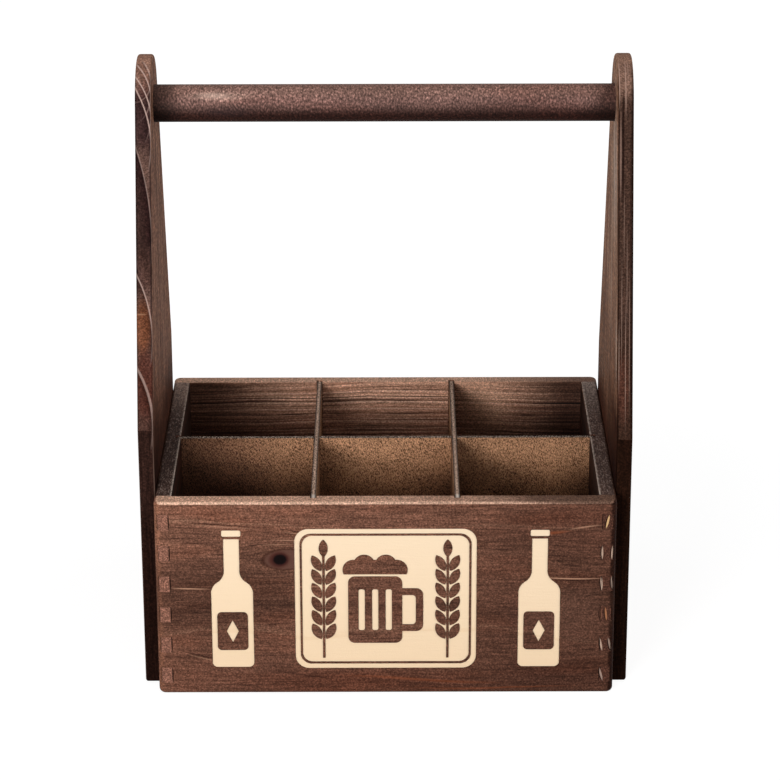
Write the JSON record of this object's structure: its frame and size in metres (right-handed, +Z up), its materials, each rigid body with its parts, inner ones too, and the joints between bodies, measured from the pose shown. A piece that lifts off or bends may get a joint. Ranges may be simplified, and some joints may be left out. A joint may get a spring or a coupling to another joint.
{
  "type": "bottle caddy",
  "caption": "Open wooden box with tenoned corners, divided into bottle cells, carried by a round rod between two tapered uprights, with an engraved front.",
  "frame": {"origin": "under the middle of the box, on the surface that it stands on", "axes": "+X along the handle rod to the right, +Y from the engraved front to the back, +Z up"},
  "size_m": [0.281, 0.197, 0.355],
  "materials": {
    "stained_pine": "dark brown stain, satin, engraved areas bare",
    "hardboard": "brown fibreboard, matt",
    "plated_steel": "yellow zinc plate"
  },
  "bodies": {
    "caddy": {"front_panel": "stained_pine", "back_panel": "stained_pine", "left_end_panel": "stained_pine", "right_end_panel": "stained_pine", "left_upright": "stained_pine", "right_upright": "stained_pine", "handle_dowel": "stained_pine", "base_panel": "hardboard", "left_upright_screws": "plated_steel", "right_upright_screws": "plated_steel", "left_handle_screw": "plated_steel", "right_handle_screw": "plated_steel", "base_nails": "plated_steel"},
    "long_divider": {"long_divider": "hardboard"},
    "left_cross_divider": {"left_cross_divider": "hardboard"},
    "right_cross_divider": {"right_cross_divider": "hardboard"}
  },
  "joints": [
    {"name": "divider_grid_lift", "type": "slide", "parent": "caddy", "child": "long_divider", "axis": [0, 0, 1], "range_m": [0, 0.12]},
    {"name": "left_cross_divider_lift", "type": "slide", "parent": "long_divider", "child": "left_cross_divider", "axis": [0, 0, 1], "range_m": [0, 0.07]},
    {"name": "right_cross_divider_lift", "type": "slide", "parent": "long_divider", "child": "right_cross_divider", "axis": [0, 0, 1], "range_m": [0, 0.07]}
  ]
}
